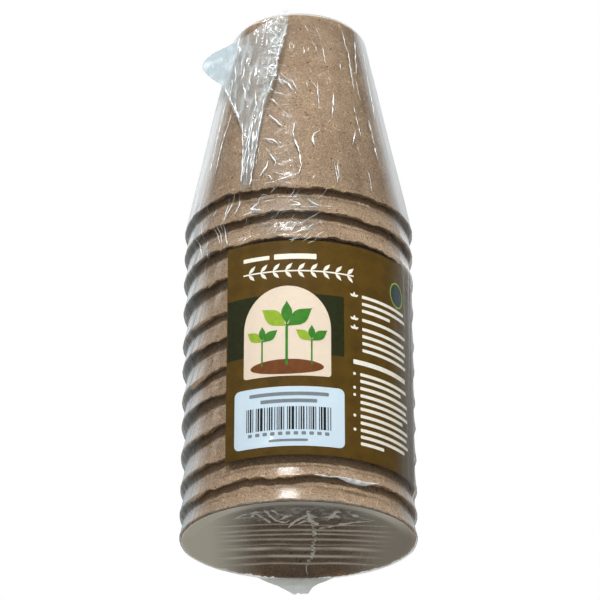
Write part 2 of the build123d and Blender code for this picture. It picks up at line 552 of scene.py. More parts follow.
def blister(place):
    """The lift of the film's blisters at a place."""
    lift = 0
    for azimuth, height, reach, rise in BLISTERS:
        away = (place - on_film(azimuth, height)).length / reach
        lift += rise * (1 - ramp(0, 1, away))
    return lift


def gathers(azimuth, height):
    """Fine upright gathers of the film, from 0 to 1."""
    turn = math.radians(azimuth + 2 * noise_at(azimuth / 25, height / 30, 8))
    broad = noise_at(12 * math.sin(turn), 12 * math.cos(turn), height / 70)
    fine = noise_at(27 * math.sin(turn), 27 * math.cos(turn), 9 + height / 45)
    return 0.6 * ramp(-0.2, 0.45, broad) + 0.4 * ramp(-0.1, 0.5, fine)


def up_first_pot(height):
    """From 0 on the stack to 1 on the first pot's wall."""
    return ramp(LIPS[0] - 8, LIPS[0] + 8, height)


def film_veil(azimuth, height):
    """How milky the film looks at a glance: most up the first pot, and on the stack more to the left."""
    up_pot = up_first_pot(height)
    from_left = 0.5 - 0.5 * math.sin(math.radians(azimuth))
    even = 0.95 * up_pot + (0.15 + 0.47 * from_left) * (1 - up_pot)
    return even * (0.7 + 0.3 * gathers(azimuth, height))


def film_tube(name, low, high, rows):
    """A tube of film between two heights, with its wrinkles, haze and crinkles."""
    bm = bmesh.new()
    foot = bm.verts.new((1, 0, low))
    head = bm.verts.new((1, 0, high))
    bmesh.ops.subdivide_edges(bm, edges=[bm.edges.new((foot, head))], cuts=rows)
    spun(bm, FILM_STEPS)
    haze, crinkle, veil, doubled_and_painted_shade = value_layers(bm, "haze", "crinkle", "veil", "doubled_and_painted_shade")
    for vert in bm.verts:
        azimuth, height = azimuth_of(vert.co), vert.co.z
        radius = film_radius(azimuth, height)
        place = round_stack(radius, azimuth, height)
        side = ramp(38, 68, abs(azimuth))
        gather = gathers(azimuth, height)
        swell = 0.1 * noise.noise(place / 11)
        slack = slackness(azimuth, height)
        webbed = slack * (1 - crumple(place, 6)) + 0.5 * slack * (1 - crumple(place + UP * 90, 2.6))
        radius += max(-0.12, swell + side * (0.22 * gather - 0.08)) + 0.32 * webbed + blister(place)
        vert.co = round_stack(radius, azimuth, height)
        lines = 0.07 * side * gather
        front_foot = 0.25 * (1 - ramp(0.5, 1.8, height)) * max(0, math.cos(math.radians(azimuth)))
        vert[haze] = 0.004 + lines + front_foot + 0.1 * slack * webbed
        vert[veil] = film_veil(azimuth, height)
        # Painted shade: the milk is painted darker grey over the stack, fading out up the first pot
        vert[doubled_and_painted_shade] = 0.8 * (1 - up_first_pot(height))
        vert[crinkle] = 0.012 + 0.028 * ramp(25, 60, height) + 0.1 * side
    film_piece(name, bm, "film_sleeve")


film_tube("film_over_stack", MOUTH_LEVEL, LIPS[0], 200)
film_tube("film_over_first_pot", LIPS[0], FILM_TOP, 130)


def film_grid(across, up):
    """A bmesh of film from -1 to 1 in X and Y, and the layers of its haze and crinkle."""
    bm = bmesh.new()
    bmesh.ops.create_grid(bm, x_segments=across, y_segments=up, size=1)
    return bm, *value_layers(bm, "haze", "crinkle")


def film_disc(name, radius, level, cells, shape, *nodes):
    """A round panel of film from a square grid. shape gives a point's rise, haze and crinkle."""
    bm, haze, crinkle = film_grid(cells, cells)
    for vert in bm.verts:
        u, v = vert.co.x, vert.co.y
        x = radius * u * math.sqrt(1 - v * v / 2)
        y = radius * v * math.sqrt(1 - u * u / 2)
        rise, vert[haze], vert[crinkle] = shape(x, y)
        vert.co = (x, y, level + rise)
    film_piece(name, bm, *nodes)


MOUTH_PANEL_RADIUS = FILM_RADIUS - FILM_TURN + 0.1
MOUTH_DISH = 1.4
# Pleats across the mouth: the place, the reach to the back and the strength
PLEATS = (
    (-15.2, 1.6, 0.8), (-9.9, 2.6, 0.9), (-5.3, 2.2, 0.75), (-0.4, 2.6, 0.8),
    (5.2, 1.8, 0.55), (8, 4, 0.95), (16, 3.2, 0.9), (23.2, 2.2, 0.8),
)
PLEAT_LIP = 0.7
PLEAT_HEIGHT = 0.9


def mouth_shape(x, y):
    """The mouth panel: dished inwards, with pleats from side to side and a milky left and right."""
    out = math.hypot(x, y) / MOUTH_PANEL_RADIUS
    ends = 1 - ramp(22, 33, abs(x - 1))
    fold = 0
    for number, (pleat, reach, strength) in enumerate(PLEATS):
        bow = 1.1 * noise_at(x / 17, number * 3.1, 0)
        away = y - pleat - bow
        share = max(0, 1 - (away / reach if away > 0 else -away / PLEAT_LIP))
        uneven = 1 + 0.7 * noise_at(x / 9, number * 5.3, 4)
        fold = max(fold, strength * uneven * share)
    fold = min(1, fold * ends)
    dish = MOUTH_DISH * (1 - out**2)
    left, right = ramp(11, 32, -x), ramp(13, 30, x)
    haze = 0.01 + 0.84 * left + 0.34 * right + 0.8 * fold**1.5 * (1 - left) * (1 - right)
    haze += 0.5 * ramp(0.86, 0.95, out) * ramp(2, 26, -y)
    return max(0, dish - 0.5 * PLEAT_HEIGHT * fold), min(0.9, haze), 0.06


def base_shape(x, y):
    """The panel over the first pot's base: flat, with shallow rays towards its edge."""
    turn = math.atan2(y, x)
    out = math.hypot(x, y) / BASE_RADIUS
    ray = noise_at(4 * math.cos(turn), 4 * math.sin(turn), out)
    return 0.12 * ray * out, 0.05 + 0.12 * max(0, ray) * out, 0.12


# The gathered corner: a crumpled web in the plane that touches the film along one line up the first pot
WEB_AZIMUTH = -35
WEB_OUT = round_stack(1, WEB_AZIMUTH, 0)
WEB_LEFT = round_stack(1, WEB_AZIMUTH - 90, 0)
WEB_UP = UP * math.cos(SLANT) - WEB_OUT * math.sin(SLANT)
WEB_FACING = WEB_OUT * math.cos(SLANT) + UP * math.sin(SLANT)
WEB_FOOT = WEB_OUT * (FILM_RADIUS + 0.2) + UP * LIPS[0]
# Its outline: the place to the left of that line, the place up the slant and the round of the corner
WEB_OUTLINE = (
    (-4.2, 0.6, 0), (-2.8, 16, 5), (-0.2, 30, 5), (6, 40.4, 5), (11.4, 52.6, 4), (18.4, 58.6, 3.5),
    (24.6, 66.4, 3.2), (20.6, 70.6, 3), (7.2, 72.4, 3), (-14.4, 80.2, 0.8), (-14, 70, 3), (-12.6, 56, 4),
    (-12.3, 48, 3), (-9.4, 38, 4), (-8.8, 28, 4), (-8.2, 0.6, 0),
)
# Its right edge, as (up, left)
WEB_RIGHT = [(up, left) for left, up, _ in WEB_OUTLINE[:8:-1]]
WEB_STEP = 0.6


def flat_film(outline, step):
    """A bmesh of flat film from (x, y, round) corners, cut into cells, and the layers of its looks."""
    bm = bmesh.new()
    corners = [bm.verts.new((x, y, 0)) for x, y, _ in outline]
    bm.faces.new(corners)
    for vert, (_, _, reach) in zip(corners, outline):
        if reach:
            rounded(bm, [vert], reach, 5)
    sliced(bm, ACROSS, step)
    sliced(bm, DEEP, step)
    bmesh.ops.triangulate(bm, faces=bm.faces)
    return bm, *value_layers(bm, "haze", "crinkle", "doubled_and_painted_shade")


def on_web(left, up, lift=0):
    """A point of the web's plane, or over it."""
    return WEB_FOOT + WEB_LEFT * left + WEB_UP * up + WEB_FACING * lift


def web_form(left, up):
    """The web's lift and haze at a place, and how far that is on the ear and on the crumpled right edge."""
    ear = ramp(-1.5, 1.5, left - 7.1 - 0.21 * (72.1 - up))
    inset = left - along(WEB_RIGHT, up)
    edge = (1 - ramp(3.5, 9, inset)) * ramp(36, 48, up)
    bend = 1.5 * noise_at(left / 9, up / 14, 2)
    pleat = crumple(Vector((left + bend, up * 0.2, 5)), 3.2)
    fine = crumple(Vector((left, up * 0.7, 9)), 1.8)
    lift = 0.3 + (0.8 * pleat + 0.7 * fine * edge) * (1 - 0.7 * ear)
    creased = 0.22 * (1 - ramp(0, 0.22, pleat)) + 0.25 * edge * (1 - ramp(0, 0.25, fine))
    return lift, min(0.85, 0.2 + creased + 0.58 * ear) * ramp(-4, 12, up), ear, edge


def gathered_corner():
    """The web of film, gathered to an ear at its left and to a cord-like fold at its foot."""
    bm, haze, crinkle, doubled_and_painted_shade = flat_film(WEB_OUTLINE, WEB_STEP)
    for vert in bm.verts:
        left, up = vert.co.x, vert.co.y
        lift, vert[haze], ear, edge = web_form(left, up)
        # Painted shade: the web's milk is painted partly darker grey, more on the ear, in soft blotches
        vert[doubled_and_painted_shade] = 0.45 + ear * (0.55 + 0.6 * noise_at(left / 4, up / 4, 6))
        vert[crinkle] = 0.12 + 0.3 * edge
        vert.co = on_web(left, up, lift)
    faced(bm)
    film_piece("gathered_corner", bm, "film_corner_flap")


gathered_corner()

# The seal's loose tail at the back of the mouth, as (x, y, round), and where it shows and grows wavy
TAIL_OUTLINE = (
    (-15, 36, 0), (-10.8, 42.4, 3), (-7.2, 46.4, 3), (-4.6, 50.8, 2), (-2.8, 54.6, 1), (-1.2, 56, 0.5),
    (-0.2, 54, 0.3), (0.8, 55.8, 0.4), (2, 54.8, 0.3), (3.4, 55.5, 0.6), (4.5, 50, 2), (5.8, 44.8, 3),
    (9.6, 41.2, 3), (12.5, 36.4, 0), (6, 36.4, 0), (0, 36.4, 0), (-8, 36.2, 0),
)
TAIL_SHOWS = (36, 39.5)
TAIL_WAVES = (40, 46)
TAIL_STEP = 0.7


def seal_tail():
    """The tail: two layers of film pressed together, wavy, with a notched end."""
    bm, haze, crinkle, doubled_and_painted_shade = flat_film(TAIL_OUTLINE, TAIL_STEP)
    for vert in bm.verts:
        fold = crumple(Vector((vert.co.x, vert.co.y * 0.5, 2)), 4)
        vert.co.z = 0.08 + 0.4 * fold * ramp(*TAIL_WAVES, vert.co.y)
        vert[haze] = (0.82 + 0.14 * (1 - ramp(0, 0.25, fold))) * ramp(*TAIL_SHOWS, vert.co.y)
        vert[crinkle] = 0.08
        # Painted shade: the tail's milk is painted halfway to the darker grey
        vert[doubled_and_painted_shade] = 0.5
    faced(bm)
    film_piece("seal_tail", bm, "film_mouth_panel")


seal_tail()

# The loose bunch inside the last lip: its middle, half its width and depth, its bow, its level and its limit
BUNCH_X = 2
BUNCH_Y = -22.5
BUNCH_WIDTH = 25
BUNCH_DEPTH = 8
BUNCH_BOW = 4
BUNCH_LEVEL = 2.2
BUNCH_LIMIT = 37


def loose_bunch():
    """Loose film that is bunched up inside the last lip, at the front."""
    bm, haze, crinkle = film_grid(150, 60)
    for vert in bm.verts:
        u, v = vert.co.x, vert.co.y
        x = BUNCH_X + BUNCH_WIDTH * u * math.sqrt(1 - v * v / 2)
        depth = BUNCH_DEPTH + 3 * noise_at(x / 6, 0, 4)
        y = BUNCH_Y + depth * v * math.sqrt(1 - u * u / 2) + BUNCH_BOW * u * u
        place = Vector((x, y * 1.4, 8))
        fold = crumple(place, 6)
        fine = crumple(place, 2.2)
        z = BUNCH_LEVEL + (3 * fold + 1.2 * fine) * (1 - u**4)
        out = math.hypot(x, y)
        if out > BUNCH_LIMIT:
            x, y = x * BUNCH_LIMIT / out, y * BUNCH_LIMIT / out
        vert.co = (x, y, MOUTH_LEVEL + z)
        fine_lines = 0.2 * (1 - ramp(0, 0.2, fine)) * (1 - ramp(0, 0.5, fold))
        lines = 0.45 * (1 - ramp(0, 0.16, fold)) + fine_lines
        vert[haze] = (0.08 + lines) * (1 - u**4) * (1 - v**4)
        vert[crinkle] = 0.3
    film_piece("loose_bunch", bm)


loose_bunch()

# Folds of the film that stand up as fine ridges, as (azimuth, height) on the film
RIDGES = (
    ((-18, 163.4), (-10.6, 162.4), (-6.5, 160.7), (-4.7, 158.2), (-3, 157.7)),
    ((-20.5, 160.9), (-14.6, 157.2), (-7.5, 155.2)),
    ((-20.5, 155.1), (-16, 154), (-12.3, 151)),
    ((-9.6, 148.7), (-7.1, 147), (-5.9, 145.5)),
    ((-21.2, 148.3), (-16, 146.5), (-11.6, 143.1), (-7.2, 141)),
    (
        (-1.9, 143.9), (-3, 139.1), (-2.6, 136.1), (-0.7, 132.5), (0.7, 129), (1.4, 123.7), (0.3, 120.8),
        (-3.3, 119.7), (-7.3, 118.4), (-12.6, 117.3), (-18.1, 117.3),
    ),
    ((-20.5, 137.2), (-14.1, 135.9), (-10.9, 133.5)),
    ((-17.6, 132.4), (-15.1, 129.8), (-11.9, 125.9), (-12.4, 124.2)),
    ((-21.6, 133.5), (-22.5, 128.9), (-22.4, 126)),
    ((-19.9, 120.4), (-16.7, 124.1), (-15.6, 128.1)),
    ((12.2, 140.1), (8.6, 138.1), (7.7, 135.1), (9.3, 131.6)),
    ((-7, 179), (-6.3, 175.5), (-4.4, 175.2), (-3.5, 178.9)),
    ((4.8, 187.8), (7.3, 185.3)),
    ((7.9, 177.8), (6.8, 175.6)),
    ((22.8, 158.2), (20.1, 146.3)),
    ((36.2, 145.5), (31.6, 136.4)),
    ((31.3, 173.8), (30, 169.6)),
    ((50.7, 186.6), (44.6, 170.1)),
    ((61.4, 183.7), (57.6, 168.5), (55.9, 152.8)),
    ((47.9, 150.7), (49.1, 133.6)),
    ((-56.2, 161.1), (-56.5, 147.2), (-56.1, 129.9)),
    ((-46.3, 152.6), (-49.8, 140.7), (-50.3, 128.2)),
    ((-15.7, 112.8), (-18.1, 113.2), (-19.7, 112.3), (-20.5, 110.3), (-24.3, 108.1), (-16.8, 106.6)),
    ((-5.8, 110.6), (-0.7, 109.1), (0.8, 108), (-4.2, 108.2)),
    ((4.3, 111.2), (5.8, 109.9), (9.3, 108.3), (11.7, 108.2)),
    ((-16.7, 96.1), (-15.1, 97.8), (-10.4, 99.8), (-4.2, 102), (-2, 104.4)),
    ((-6.5, 99.9), (-2.7, 100.7), (2, 101.9), (6.6, 103.6), (10.7, 105.5)),
    ((-9.6, 96.2), (-5.7, 97.2), (-1.1, 97.6), (4.3, 99.3), (7.5, 101.5)),
    ((-3.4, 93.8), (0.6, 96.8)),
    ((1.9, 93.8), (6, 96.1)),
    ((-14.4, 103.5), (-11.2, 104.8)),
    ((-32.9, 115), (-36.7, 110.9), (-40.2, 106.1), (-39.5, 101), (-36.9, 96.2)),
    ((-36.8, 114), (-39, 110.2), (-39.1, 106.5)),
    ((-46.8, 105.2), (-44.1, 100.9), (-42.6, 98.1)),
    ((-44.3, 105.5), (-42.7, 101.2), (-41, 97.1)),
    ((-30.2, 115.1), (-31, 111), (-33.3, 107.7)),
    ((-53.7, 103.4), (-52.8, 98.9), (-50.1, 94.4)),
    ((-62.5, 106), (-58.8, 99.9), (-54.8, 95.7)),
    ((-57.7, 112), (-56.7, 106.7), (-54.3, 101.7)),
)
# Fields of slack film with short creases: azimuths, heights, number, slope and how far it varies, half the
# length of the longest, and curl
CREASE_FIELDS = (
    ((-24, -8), (119, 170), 26, -25, 35, 3.8, 0.5),
    ((-4, 16), (150, 186), 6, -80, 35, 3.8, 0.5),
    ((12, 50), (120, 186), 12, -87, 5, 8, 0.02),
    ((-27, 14), (94, 114), 30, 35, 35, 3.8, 0.5),
    ((-66, -38), (90, 116), 14, 75, 35, 3.8, 0.5),
)
# The same for the gathered corner, in the web's plane
WEB_CREASE_FIELDS = (
    ((-11.6, -5), (47, 77), 44, 60, 60, 1.6, 1.8),
    ((-8.2, -3.8), (3, 34), 18, 88, 10, 4.5, 0.1),
    ((-5, 8), (44, 74), 14, 84, 12, 4.5, 0.2),
    ((9, 19), (62, 70), 7, 60, 60, 1.3, 0.8),
)


def scattered_creases(fields, unit):
    """Short creases, scattered over fields of film. unit is the length of one step across a field."""
    pick = random.Random(len(fields))
    lines = []
    for (left, right), (low, high), count, slope, spread, longest, curl in fields:
        for _ in range(count):
            across = pick.uniform(left, right)
            height = pick.uniform(low, high)
            lean = math.radians(pick.uniform(slope - spread, slope + spread))
            length = longest * pick.uniform(0.3, 1)
            run = length * math.cos(lean) / unit
            rise = length * math.sin(lean)
            sway = length * pick.uniform(-curl, curl)
            start, end = (across - run, height - rise), (across + run, height + rise)
            lines.append((start, (across + sway, height), end))
    return lines


# Folds of the web, as (left, up) in its plane
WEB_RIDGES = (
    ((-8.1, 1), (-8.4, 14), (-8.4, 28), (-8.8, 38), (-11.4, 48)),
    ((-4.4, 1), (-3, 16), (-0.6, 30), (5.2, 41), (10.8, 52)),
    ((-6.6, 2), (-5.4, 16), (-4.4, 27), (-5.2, 38)),
    ((4.8, 42.5), (2.6, 36.3), (1.1, 32.1)),
    ((-3.9, 45), (-5.5, 36.4)),
    ((0.6, 67.1), (0.3, 59.4)),
    ((-13.4, 71), (-12.2, 60), (-11.8, 50)),
)
# Wisps of the loose bunch inside the last lip, as (x, y)
WISPS = (
    ((-21.8, -21), (-18.3, -25.6), (-14.5, -27.9), (-11.3, -28.7)),
    ((-21, -21.8), (-15.6, -23.3), (-14.5, -27.2)),
    ((-11.3, -30.2), (-8.7, -22.5), (-7.2, -19.4), (-3.9, -24.1), (-1.8, -25.6)),
    ((-9.2, -31), (-6.1, -25.6), (-2.9, -24.9)),
    ((-7.2, -19.4), (-4.5, -17.9), (-2.4, -21)),
    ((-3.5, -12.5), (-1.8, -17.9), (0.8, -22.5), (4, -21), (6.7, -14.7)),
    ((-1, -15.7), (2.2, -19.7), (5.4, -16.7)),
    ((0.8, -22.5), (3, -25.6), (6.7, -22.5), (10.9, -24.1), (12.5, -28.7), (15.1, -27.2)),
    ((6.8, -12.5), (10, -13.6), (13.7, -16.3), (19.5, -18.6), (24.8, -19.4)),
    ((9.9, -21), (12, -25.6), (13.6, -22.5), (16.8, -21)),
    ((15.1, -27.9), (17.8, -25.6), (21, -22.5), (25.4, -19.4)),
    ((2.9, -30.2), (3.5, -24.1), (4, -17.9)),
    ((-16.6, -28.7), (-13.5, -25.6), (-9.3, -17.9)),
)
WISP_LEVEL = 0.8
RIDGE_WIDTH = 0.17
RIDGE_STEP = 0.8
# How far folds stand off the film and off the web, and how flat folds and wisps are pressed
FOLD_LIFT = 0.2
WEB_FOLD_LIFT = 0.15
FOLD_FLATNESS = 0.2
WISP_FLATNESS = 0.35


def ridge_line(curve, places, width, seed):
    """Adds a fold to a curve: an uneven line that swells, thins and fades along its length."""
    dense = []
    for start, end in zip(places, places[1:]):
        count = max(1, round((end - start).length / RIDGE_STEP))
        dense += [start.lerp(end, step / count) for step in range(count)]
    dense.append(places[-1])
    spline = curve.splines.new("NURBS")
    spline.points.add(len(dense) - 1)
    for count, (point, place) in enumerate(zip(spline.points, dense)):
        fade = min(1, 0.2 + count / 4, 0.2 + (len(dense) - 1 - count) / 4)
        swell = max(0.4, 0.9 + 1.5 * noise.noise(place / 2.1 + UP * seed))
        shake = 0.3 * noise.noise_vector(place / 1.7)
        point.co = (*(place + shake), 1)
        point.radius = width * fade * swell
    spline.order_u = 3
    spline.use_endpoint_u = True


def ridge_mesh(milk_and_painted_light, *kinds, smoothness=3):
    """A bmesh of folds as beads. A kind is folds, what places their points, a width and a first seed."""
    curve = bpy.data.curves.new("folds", "CURVE")
    curve.dimensions = "3D"
    curve.bevel_depth = 1
    curve.bevel_resolution = 2
    curve.resolution_u = smoothness
    curve.use_fill_caps = True
    for folds, placed, width, first_seed in kinds:
        for seed, fold in enumerate(folds, start=first_seed):
            ridge_line(curve, [placed(*point) for point in fold], width, seed)
    holder = linked("folds", curve)
    mesh = bpy.data.meshes.new_from_object(holder)
    bpy.data.objects.remove(holder)
    bm = bmesh.new()
    bm.from_mesh(mesh)
    haze, crinkle = value_layers(bm, "haze", "crinkle")
    for vert in bm.verts:
        # On folds and wisps, the beads' milk is partly creased film's whitening and partly a painted
        # highlight in place of glints, fading at random along each bead
        vert[haze] = milk_and_painted_light * ramp(-0.6, 0, noise.noise(vert.co / 3))
        vert[crinkle] = 0.1
    return bm


def film_folds():
    """The fine folds of the film, pressed nearly flat, which show as bright lines: milky beads whose white
    is partly creased film's whitening and partly painted highlight.
    """
    creases = scattered_creases(CREASE_FIELDS, math.radians(FILM_RADIUS))
    bm = ridge_mesh(0.95, (RIDGES, on_film, RIDGE_WIDTH, 0), (creases, on_film, 0.6 * RIDGE_WIDTH, 120))
    for vert in bm.verts:
        azimuth = azimuth_of(vert.co)
        skin = film_radius(azimuth, vert.co.z)
        over = math.hypot(vert.co.x, vert.co.y) - skin
        vert.co = round_stack(skin + FOLD_LIFT + FOLD_FLATNESS * over, azimuth, vert.co.z)
    film_piece("film_folds", bm, "film_sleeve")


def corner_folds():
    """The fold lines of the gathered corner."""
    creases = scattered_creases(WEB_CREASE_FIELDS, 1)
    ridges = (WEB_RIDGES, on_web, 1.2 * RIDGE_WIDTH, 50)
    bm = ridge_mesh(0.95, ridges, (creases, on_web, 1.4 * RIDGE_WIDTH, 300))
    for vert in bm.verts:
        away = vert.co - WEB_FOOT
        left, up = away.dot(WEB_LEFT), away.dot(WEB_UP)
        lift = web_form(left, up)[0] + WEB_FOLD_LIFT + FOLD_FLATNESS * away.dot(WEB_FACING)
        vert.co = on_web(left, up, lift)
    film_piece("corner_folds", bm, "film_corner_flap")


def on_level(x, y, level=WISP_LEVEL):
    """A point of a wisp, or of the seam at its own level."""
    return Vector((x, y, level))


def bunch_wisps():
    """The wisps of the loose bunch."""
    bm = ridge_mesh(0.75, (WISPS, on_level, 3.4 * RIDGE_WIDTH, 90))
    for vert in bm.verts:
        vert.co.z = WISP_LEVEL + WISP_FLATNESS * (vert.co.z - WISP_LEVEL)
    film_piece("bunch_wisps", bm)


film_folds()
corner_folds()
bunch_wisps()

# A fold of film that is caught under the last lip but one: azimuth, height and half its breadth
CAUGHT = (
    (7, 9.5, 0.1), (11, 9.1, 0.45), (15.4, 9, 0.25), (18.4, 9.2, 0.3), (23, 8.6, 0.85),
    (28, 8.35, 1), (33, 8.4, 0.75), (37.5, 9.1, 0.35), (41, 10, 0.1),
)
CAUGHT_LIFT = 0.06
CAUGHT_CROWN = 0.12


def caught_fold():
    """The caught fold: a narrow milky lens of film just over the taut film."""
    bm, haze, crinkle = film_grid(90, 8)
    first, last = CAUGHT[0][0], CAUGHT[-1][0]
    middles = [(turn, height) for turn, height, _ in CAUGHT]
    breadths = [(turn, half) for turn, _, half in CAUGHT]
    for vert in bm.verts:
        azimuth = first + (last - first) * (vert.co.x + 1) / 2
        ragged = 0.15 * noise_at(azimuth / 2, vert.co.y, 0)
        height = along(middles, azimuth) + along(breadths, azimuth) * vert.co.y + ragged
        crown = 1 - vert.co.y**2
        patch = ramp(-0.3, 0.3, noise_at(azimuth / 3, vert.co.y, 7))
        vert[haze] = 0.42 + 0.35 * crown * patch
        vert[crinkle] = 0.1
        vert.co = round_stack(FILM_RADIUS + CAUGHT_LIFT + CAUGHT_CROWN * crown, azimuth, height)
    faced(bm)
    film_piece("caught_fold", bm)


caught_fold()

# The crimped seam across the mouth: (x, y), then the thin line that goes on to the back
SEAM = ((4, -26.5), (4.4, -20), (5.2, -12), (5.5, -4), (5, 6), (5.2, 13), (4.2, 19), (3.6, 22.5))
SEAM_END = ((3.6, 22.5), (2.6, 27), (2.9, 33), (3.3, 38.5))
# Its beads, those that are doubled at the back, half the breadth of its zigzag, its width and its levels
SEAM_BEADS = 28
SEAM_DOUBLED = 7
SEAM_ZIGZAG = 0.65
SEAM_WIDTH = 0.2
SEAM_LEVEL = MOUTH_LEVEL + 0.9
SEAM_END_LEVEL = MOUTH_LEVEL + 0.5


def crimped_seam():
    """The seal: a zigzag of small beads, and a thin thread of film behind it."""
    ys = [(y, x) for x, y in SEAM]
    first, last = SEAM[0][1], SEAM[-1][1]
    places = []
    for bead in range(SEAM_BEADS):
        y = first + (last - first) * bead / (SEAM_BEADS - 1)
        side = SEAM_ZIGZAG if bead % 2 else -SEAM_ZIGZAG
        places.append((along(ys, y) + side, y, SEAM_LEVEL))
    zigzag = ([places], on_level, SEAM_WIDTH, 71)
    doubled_and_painted_shade = ([places[-SEAM_DOUBLED:]], on_level, 2 * SEAM_WIDTH, 73)
    thread = ([[(x, y, SEAM_END_LEVEL) for x, y in SEAM_END]], on_level, SEAM_WIDTH, 72)
    film_piece("crimped_seam", ridge_mesh(0.98, zigzag, doubled_and_painted_shade, thread, smoothness=4), "film_seam")


crimped_seam()

film_disc("film_over_mouth", MOUTH_PANEL_RADIUS, MOUTH_LEVEL, 180, mouth_shape, "film_mouth_panel")
film_disc("film_over_base", film_radius(0, FILM_TOP) + 0.05, FILM_TOP, 90, base_shape, "film_base_panel")


# Label card, sticker and their print, whose places are from the lower left corner of card or sticker

PRINT_STEP = 1.3


def bent(bm, radius, left, low):
    """Bends flat work round the stack. Its x is along the curve, its y above the paper and its z up."""
    for vert in bm.verts:
        turn = left + math.degrees(vert.co.x / radius)
        vert.co = round_stack(radius + vert.co.y, turn, low + vert.co.z)


def thickened(bm, thickness):
    """Makes a bent sheet solid."""
    faced(bm)
    bmesh.ops.solidify(bm, geom=bm.faces[:], thickness=thickness)


def printed(bm, verts, ink, layer, centre, angle=0):
    """Turns and places a flat shape, drawn in x and y, on a layer of ink."""
    turn = Matrix.Rotation(math.radians(angle), 4, "Z")
    stand = Matrix.Rotation(math.radians(90), 4, "X")
    place = Matrix.Translation((centre[0], layer * INK, centre[1]))
    bmesh.ops.transform(bm, matrix=place @ stand @ turn, verts=verts)
    for face in {face for vert in verts for face in vert.link_faces}:
        face.material_index = ink


def bar(bm, ink, layer, left, low, width, height, corner=0):
    """Prints a bar, with round corners where they are given."""
    verts = bmesh.ops.create_grid(bm, x_segments=1, y_segments=1, size=0.5)["verts"]
    bmesh.ops.scale(bm, vec=(width, height, 1), verts=verts)
    if corner:
        verts = rounded(bm, verts, corner, 4)
    printed(bm, verts, ink, layer, (left + width / 2, low + height / 2))


def disc(bm, ink, layer, centre, width, height):
    """Prints an oval."""
    verts = bmesh.ops.create_circle(bm, cap_ends=True, segments=48, radius=0.5)["verts"]
    bmesh.ops.scale(bm, vec=(width, height, 1), verts=verts)
    printed(bm, verts, ink, layer, centre)


def leaf(bm, ink, layer, foot, length, width, angle):
    """Prints a pointed leaf that grows from its foot at an angle."""
    verts = bmesh.ops.create_circle(bm, cap_ends=True, segments=24, radius=1)["verts"]
    for vert in verts:
        share = (vert.co.x + 1) / 2
        breadth = math.copysign(math.sin(math.pi * share) ** 1.4, vert.co.y) if vert.co.y else 0
        vert.co = (share * length, breadth * width / 2, 0)
    printed(bm, verts, ink, layer, foot, angle)


# Rows of the right column, as bars: the left end, then heights on the card and widths
COLUMN_ROWS = (
    (48.6, ((59, 22), (56.4, 23), (53.8, 13), (50.4, 23), (47, 22), (44.4, 23), (41.8, 22), (39.2, 23))),
    (47.6, ((30.2, 24), (27.8, 20), (25.2, 25), (22.6, 24), (20.2, 25), (17.8, 21), (15.2, 25), (12.8, 24))),
    (47.6, ((10.2, 25), (7.8, 22), (5.4, 10))),
)
COLUMN_MARKS = (59, 50.4, 47)
NUMBER_MARKS = (30.2, 25.2, 22.6, 15.2, 10.2)
ROW_HEIGHT = 1.15
# The soil's level, the sprouts in it, as the middle and the size, and the badge's middle
SOIL = 32
SPROUTS = ((22, 1), (13.6, 0.62), (30.4, 0.62))
BADGE = (66, 65.6)


def label_print():
    """The card's print, all generic: rows as bars, a sprig border, sprouts in an arch and a bare badge."""
    bm = bmesh.new()
    bar(bm, PALE, 1, 6.5, 71.2, 9.5, 1.5, 0.3)
    bar(bm, PALE, 1, 17.6, 71, 14.5, 2, 0.3)
    bar(bm, PALE, 1, 6.5, 66.3, 39, 0.55, 0.2)
    for count in range(9):
        foot = (8.4 + 4.3 * count, 66.6)
        leaf(bm, PALE, 2, foot, 4, 1.3, 48)
        leaf(bm, PALE, 2, foot, 3.6, 1.2, -48)
    bar(bm, DARK, 1, 0.3, 36, 41.4, 22)
    bar(bm, CREAM, 2, 7, 28, 30, 19, 1)
    disc(bm, CREAM, 3, (22, 45.5), 30, 31)
    disc(bm, EARTH, 4, (22, 31.4), 25, 5.4)
    for foot, size in SPROUTS:
        bar(bm, LEAF, 5, foot - 0.45 * size, SOIL, 0.9 * size, 15 * size, 0.3 * size)
        leaf(bm, LEAF, 6, (foot, SOIL + 14 * size), 11 * size, 5.4 * size, 38)
        leaf(bm, LIME, 6, (foot, SOIL + 14 * size), 11 * size, 5.4 * size, 142)
        leaf(bm, LEAF, 7, (foot, SOIL + 14.6 * size), 9 * size, 3.8 * size, 90)
    for left, rows in COLUMN_ROWS:
        for low, width in rows:
            bar(bm, PALE, 1, left, low, width, ROW_HEIGHT, 0.3)
    for low in COLUMN_MARKS:
        for angle in (30, 90, 150):
            leaf(bm, PALE, 1, (45.6, low), 1.9, 0.9, angle)
    for low in NUMBER_MARKS:
        disc(bm, PALE, 1, (45.4, low + 0.5), 1.1, 1.1)
    bar(bm, PALE, 1, 45, 34.2, 26, 1.7, 0.3)
    disc(bm, LIME, 1, BADGE, 8.2, 9.4)
    disc(bm, SLATE, 2, BADGE, 7.2, 8.4)
    sliced(bm, ACROSS, PRINT_STEP)
    bent(bm, CARD_FACE, CARD_LEFT, CARD_LOW)
    finished("label_print", bm, LABEL_INKS, "printed_card", "label_card")


